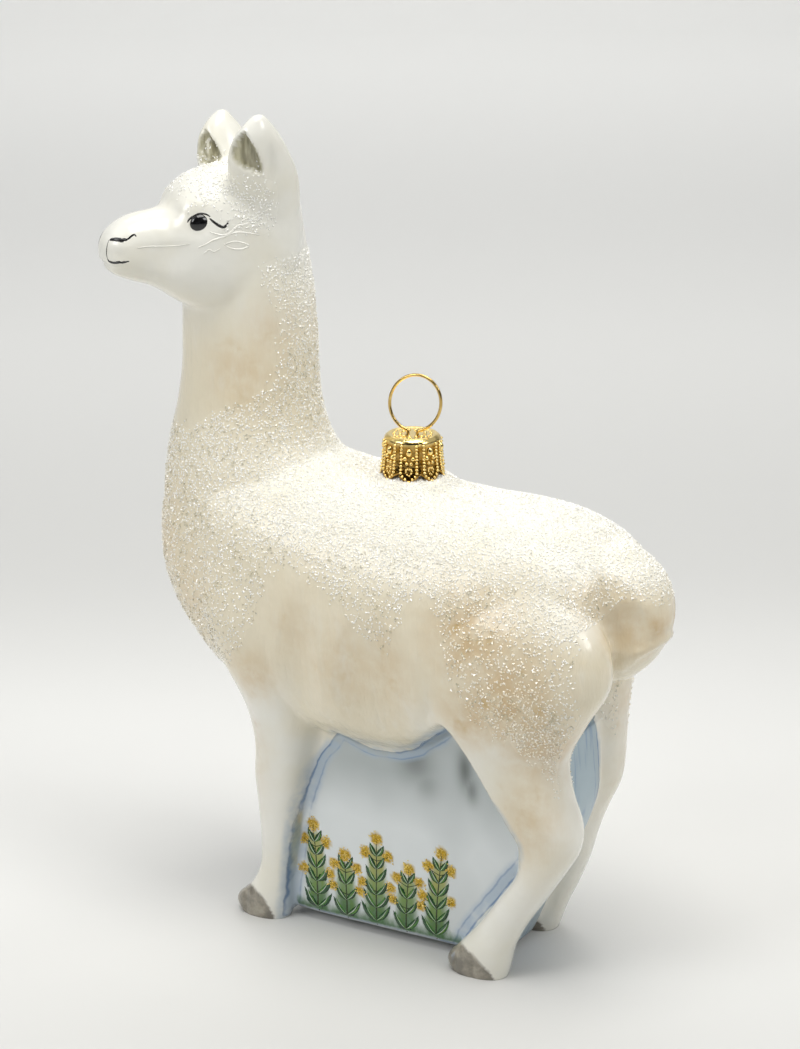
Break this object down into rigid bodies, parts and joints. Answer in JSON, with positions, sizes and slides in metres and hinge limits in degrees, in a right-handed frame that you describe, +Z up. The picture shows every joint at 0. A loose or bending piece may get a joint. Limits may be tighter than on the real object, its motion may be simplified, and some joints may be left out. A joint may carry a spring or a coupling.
{
  "type": "glass llama tree ornament",
  "caption": "Blown-glass tree ornament shaped as a standing white llama, glittered and hand painted, with a gold crown cap and a wire ring to hang it by.",
  "frame": {"origin": "centre of the box round the ornament, on the surface its hooves stand on", "axes": "-Y is the way the llama's body faces, +X is the llama's left side, +Z is up"},
  "size_m": [0.0438, 0.1012, 0.1458],
  "materials": {
    "pearl_glaze": "white pearl lacquer on glass, glossy",
    "frosted_glaze": "cream lacquer on glass, strewn with clear glass glitter",
    "silvered_glass": "silvered glass under a satin blue-grey lacquer",
    "hoof_paint": "grey paint, satin",
    "eye_paint": "black enamel, glossy",
    "gilt_brass": "bright gold"
  },
  "bodies": {
    "root": {"ear_left": "pearl_glaze", "ear_right": "pearl_glaze", "head": "pearl_glaze", "eye_left": "eye_paint", "eye_right": "eye_paint", "neck": "frosted_glaze", "trunk": "frosted_glaze", "tail": "pearl_glaze", "pike": "silvered_glass", "leg_front_left": "pearl_glaze", "leg_front_right": "pearl_glaze", "leg_hind_left": "pearl_glaze", "leg_hind_right": "pearl_glaze", "hoof_front_left": "hoof_paint", "hoof_front_right": "hoof_paint", "hoof_hind_left": "hoof_paint", "hoof_hind_right": "hoof_paint", "leg_web": "silvered_glass", "cap": "gilt_brass", "hanger_ring": "gilt_brass"}
  },
  "joints": []
}
